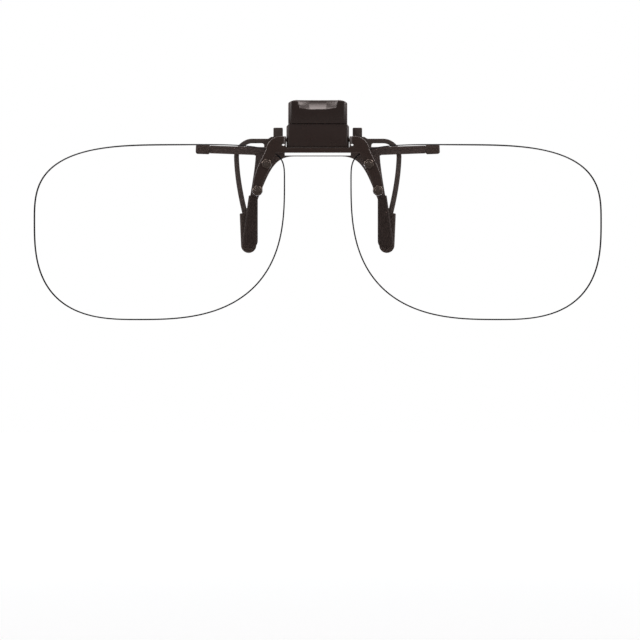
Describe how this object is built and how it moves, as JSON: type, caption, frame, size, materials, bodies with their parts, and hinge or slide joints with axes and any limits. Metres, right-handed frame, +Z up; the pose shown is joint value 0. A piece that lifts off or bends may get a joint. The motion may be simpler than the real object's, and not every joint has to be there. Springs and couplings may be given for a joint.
{
  "type": "clip-on glasses",
  "caption": "Clip-on, flip-up pair of clear rimless lenses on a black sprung clamp with rubber pads, which grips the middle of a wearer's spectacles.",
  "frame": {"origin": "middle of the grip, halfway between the front pads and the rear pads, where a spectacle lens is held", "axes": "+X to the wearer's left, +Y from the lenses towards the wearer's face, +Z up"},
  "size_m": [0.131, 0.0122, 0.0506],
  "materials": {
    "cast_black": "satin",
    "sheet_black": "satin",
    "cap_black": "satin",
    "pad_rubber": "matt",
    "steel": "brushed",
    "nut_black": "gloss",
    "lens_clear": "polished",
    "washer_clear": "gloss"
  },
  "bodies": {
    "clip_front": {"hinge_housing": "cast_black", "finger_cap": "cap_black", "detent_spring": "steel", "front_jaw": "sheet_black", "jaw_screws": "steel", "front_pad_left": "pad_rubber", "front_pad_right": "pad_rubber", "brow_tip_left": "pad_rubber", "brow_tip_right": "pad_rubber", "clamp_pin": "steel", "clamp_spring": "steel"},
    "rear_clamp": {"rear_jaw": "sheet_black", "rear_finger_pad": "cap_black", "rear_pad_left": "pad_rubber", "rear_pad_right": "pad_rubber"},
    "flip_unit": {"flip_bridge": "sheet_black", "flip_axle": "steel", "lens_left": "lens_clear", "lens_right": "lens_clear", "lens_screws": "nut_black", "lens_nuts": "nut_black", "lens_washers": "washer_clear"}
  },
  "joints": [
    {"name": "lens_flip", "type": "hinge", "parent": "clip_front", "child": "flip_unit", "pos_m": [0, -0.0039, 0.02025], "axis": [-1, 0, 0], "range_deg": [0, 90], "deforming": ["detent_spring"]},
    {"name": "clamp_open", "type": "hinge", "parent": "clip_front", "child": "rear_clamp", "pos_m": [0, -0.001, 0.0203], "axis": [1, 0, 0], "range_deg": [0, 18], "stiffness_Nm_per_rad": 0.03, "springref_deg": -34.38, "deforming": ["clamp_spring"]}
  ]
}
